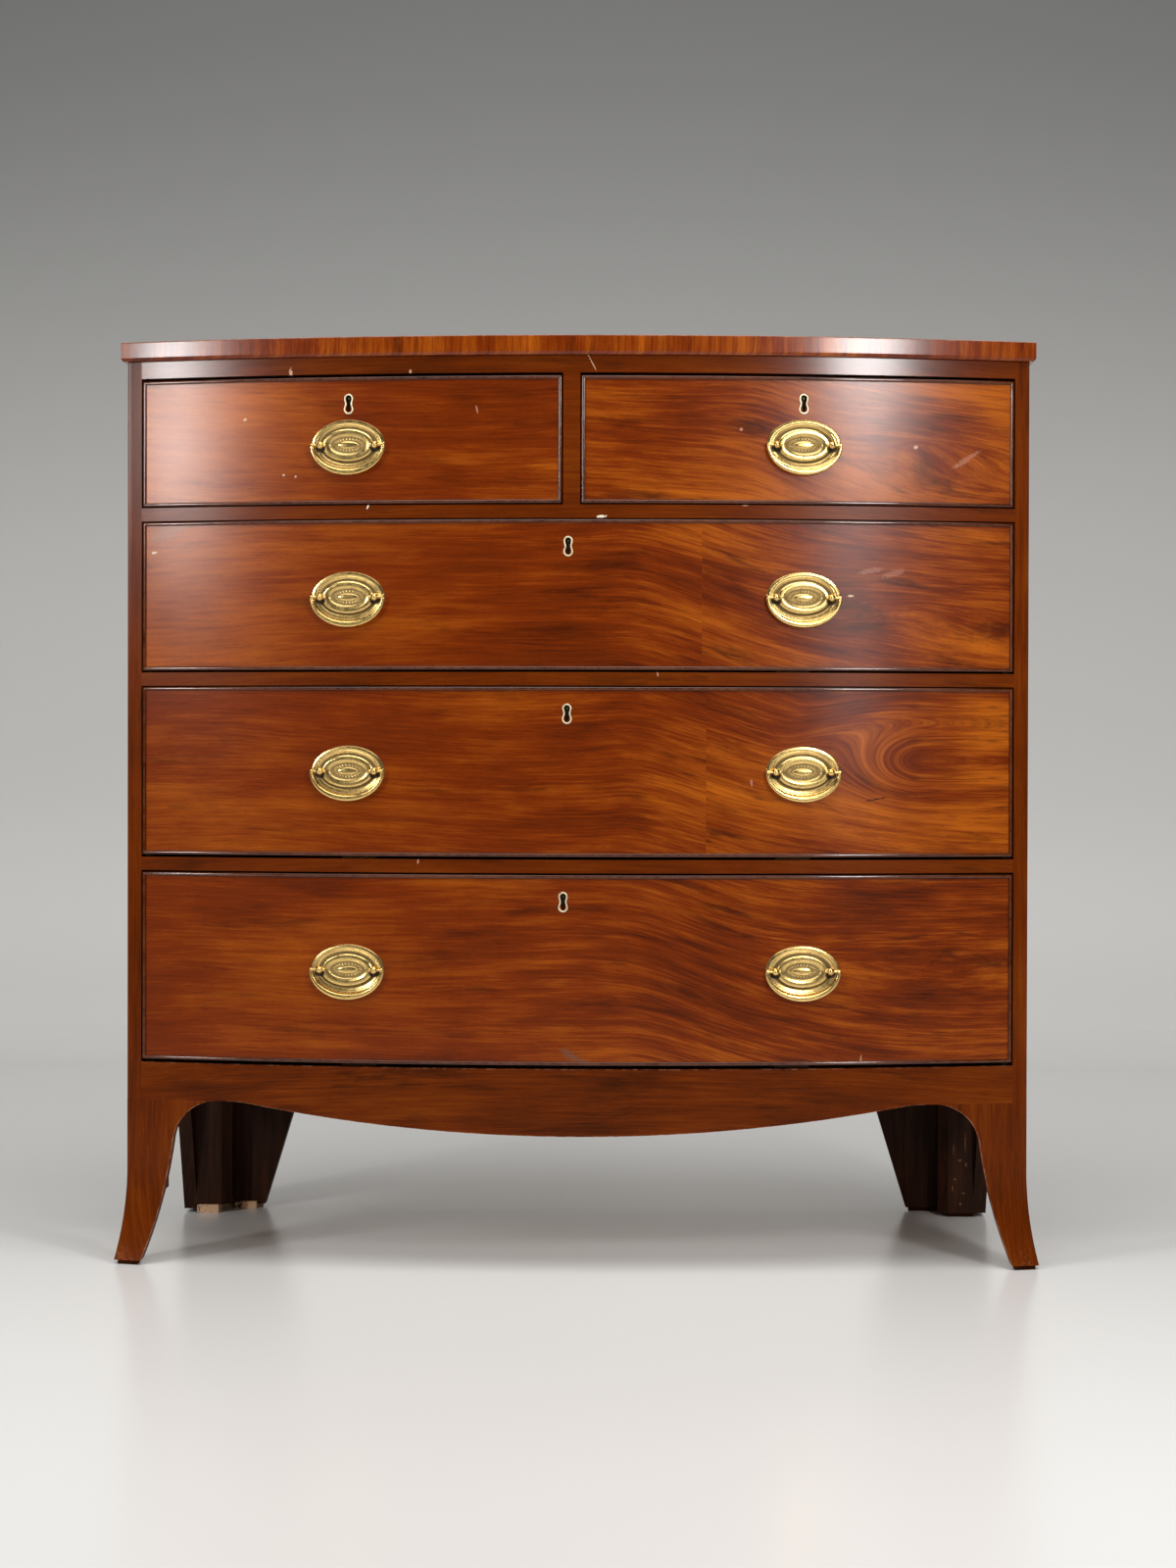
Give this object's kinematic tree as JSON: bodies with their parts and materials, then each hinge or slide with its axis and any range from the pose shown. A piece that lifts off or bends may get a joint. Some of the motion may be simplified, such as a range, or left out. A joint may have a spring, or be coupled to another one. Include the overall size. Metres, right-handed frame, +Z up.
{
  "type": "bow front chest of drawers",
  "caption": "Bow front chest of drawers in figured mahogany: short drawers over long graduated ones with cock beads, oval brass plate handles, shaped apron and splayed front feet.",
  "frame": {"origin": "middle of the footprint at floor level", "axes": "+X to the right seen from the front, +Y to the back (the bowed front faces -Y), +Z up"},
  "size_m": [1.08, 0.5489, 1.0773],
  "materials": {
    "top_veneer": "gloss French polish over cross-banded mahogany",
    "front_veneer": "gloss French polish over figured mahogany veneer",
    "rail_veneer": "gloss French polish over mahogany veneer, pine behind",
    "case_mahogany": "polished mahogany",
    "foot_mahogany": "worn polished mahogany",
    "bead_mahogany": "dark polished mahogany bead",
    "dark_wood": "dark stained wood, matt",
    "pine": "bare aged pine",
    "oak": "bare aged oak",
    "foot_pad": "dark pads, pale new wood in the shims",
    "brass": "polished and lacquered brass",
    "lock_metal": "brass thread and lock case",
    "bolt_steel": "worn iron"
  },
  "bodies": {
    "carcass": {"top_board": "top_veneer", "side_left": "case_mahogany", "side_right": "case_mahogany", "back_boards": "pine", "bottom_board": "pine", "front_rails": "rail_veneer", "top_partition": "rail_veneer", "drawer_runners": "pine", "dust_boards": "pine", "drawer_stops": "pine", "apron": "case_mahogany", "front_feet": "foot_mahogany", "rear_foot_left": "dark_wood", "rear_foot_right": "dark_wood", "foot_blocks": "dark_wood", "foot_pads": "foot_pad"},
    "drawer_lower": {"drawer_front_lower": "front_veneer", "drawer_frame_lower": "oak", "drawer_bottom_lower": "oak", "cock_beads_lower": "bead_mahogany", "lock_lower": "lock_metal", "handle_mounts_lower": "brass"},
    "drawer_middle": {"drawer_front_middle": "front_veneer", "drawer_frame_middle": "oak", "drawer_bottom_middle": "oak", "cock_beads_middle": "bead_mahogany", "lock_middle": "lock_metal", "handle_mounts_middle": "brass"},
    "drawer_upper": {"drawer_front_upper": "front_veneer", "drawer_frame_upper": "oak", "drawer_bottom_upper": "oak", "cock_beads_upper": "bead_mahogany", "lock_upper": "lock_metal", "handle_mounts_upper": "brass"},
    "drawer_top_left": {"drawer_front_top_left": "front_veneer", "drawer_frame_top_left": "oak", "drawer_bottom_top_left": "oak", "cock_beads_top_left": "bead_mahogany", "lock_top_left": "lock_metal", "handle_mounts_top_left": "brass"},
    "drawer_top_right": {"drawer_front_top_right": "front_veneer", "drawer_frame_top_right": "oak", "drawer_bottom_top_right": "oak", "cock_beads_top_right": "bead_mahogany", "lock_top_right": "lock_metal", "handle_mounts_top_right": "brass"},
    "lock_bolt_lower": {"lock_bolt_lower": "bolt_steel"},
    "lock_bolt_middle": {"lock_bolt_middle": "bolt_steel"},
    "lock_bolt_upper": {"lock_bolt_upper": "bolt_steel"},
    "lock_bolt_top_left": {"lock_bolt_top_left": "bolt_steel"},
    "lock_bolt_top_right": {"lock_bolt_top_right": "bolt_steel"},
    "bail_lower_left": {"bail_lower_left": "brass"},
    "bail_lower_right": {"bail_lower_right": "brass"},
    "bail_middle_left": {"bail_middle_left": "brass"},
    "bail_middle_right": {"bail_middle_right": "brass"},
    "bail_upper_left": {"bail_upper_left": "brass"},
    "bail_upper_right": {"bail_upper_right": "brass"},
    "bail_top_left": {"bail_top_left": "brass"},
    "bail_top_right": {"bail_top_right": "brass"}
  },
  "joints": [
    {"name": "drawer_lower_slide", "type": "slide", "parent": "carcass", "child": "drawer_lower", "axis": [0, -1, 0], "range_m": [0, 0.33]},
    {"name": "drawer_middle_slide", "type": "slide", "parent": "carcass", "child": "drawer_middle", "axis": [0, -1, 0], "range_m": [0, 0.33]},
    {"name": "drawer_upper_slide", "type": "slide", "parent": "carcass", "child": "drawer_upper", "axis": [0, -1, 0], "range_m": [0, 0.33]},
    {"name": "drawer_top_left_slide", "type": "slide", "parent": "carcass", "child": "drawer_top_left", "axis": [0, -1, 0], "range_m": [0, 0.33]},
    {"name": "drawer_top_right_slide", "type": "slide", "parent": "carcass", "child": "drawer_top_right", "axis": [0, -1, 0], "range_m": [0, 0.33]},
    {"name": "lock_bolt_lower_slide", "type": "slide", "parent": "drawer_lower", "child": "lock_bolt_lower", "axis": [0, 0, 1], "range_m": [0, 0.007]},
    {"name": "lock_bolt_middle_slide", "type": "slide", "parent": "drawer_middle", "child": "lock_bolt_middle", "axis": [0, 0, 1], "range_m": [0, 0.007]},
    {"name": "lock_bolt_upper_slide", "type": "slide", "parent": "drawer_upper", "child": "lock_bolt_upper", "axis": [0, 0, 1], "range_m": [0, 0.007]},
    {"name": "lock_bolt_top_left_slide", "type": "slide", "parent": "drawer_top_left", "child": "lock_bolt_top_left", "axis": [0, 0, 1], "range_m": [0, 0.007]},
    {"name": "lock_bolt_top_right_slide", "type": "slide", "parent": "drawer_top_right", "child": "lock_bolt_top_right", "axis": [0, 0, 1], "range_m": [0, 0.007]},
    {"name": "bail_lower_left_hinge", "type": "hinge", "parent": "drawer_lower", "child": "bail_lower_left", "pos_m": [-0.26282, -0.25461, 0.349], "axis": [-0.9915, 0.1303, 0], "range_deg": [0, 175]},
    {"name": "bail_lower_right_hinge", "type": "hinge", "parent": "drawer_lower", "child": "bail_lower_right", "pos_m": [0.26282, -0.25461, 0.349], "axis": [-0.9915, -0.1303, 0], "range_deg": [0, 175]},
    {"name": "bail_middle_left_hinge", "type": "hinge", "parent": "drawer_middle", "child": "bail_middle_left", "pos_m": [-0.26282, -0.25461, 0.578], "axis": [-0.9915, 0.1303, 0], "range_deg": [0, 175]},
    {"name": "bail_middle_right_hinge", "type": "hinge", "parent": "drawer_middle", "child": "bail_middle_right", "pos_m": [0.26282, -0.25461, 0.578], "axis": [-0.9915, -0.1303, 0], "range_deg": [0, 175]},
    {"name": "bail_upper_left_hinge", "type": "hinge", "parent": "drawer_upper", "child": "bail_upper_left", "pos_m": [-0.26282, -0.25461, 0.7784], "axis": [-0.9915, 0.1303, 0], "range_deg": [0, 175]},
    {"name": "bail_upper_right_hinge", "type": "hinge", "parent": "drawer_upper", "child": "bail_upper_right", "pos_m": [0.26282, -0.25461, 0.7784], "axis": [-0.9915, -0.1303, 0], "range_deg": [0, 175]},
    {"name": "bail_top_left_hinge", "type": "hinge", "parent": "drawer_top_left", "child": "bail_top_left", "pos_m": [-0.26282, -0.25461, 0.9533], "axis": [-0.9915, 0.1303, 0], "range_deg": [0, 175]},
    {"name": "bail_top_right_hinge", "type": "hinge", "parent": "drawer_top_right", "child": "bail_top_right", "pos_m": [0.26282, -0.25461, 0.9533], "axis": [-0.9915, -0.1303, 0], "range_deg": [0, 175]}
  ]
}
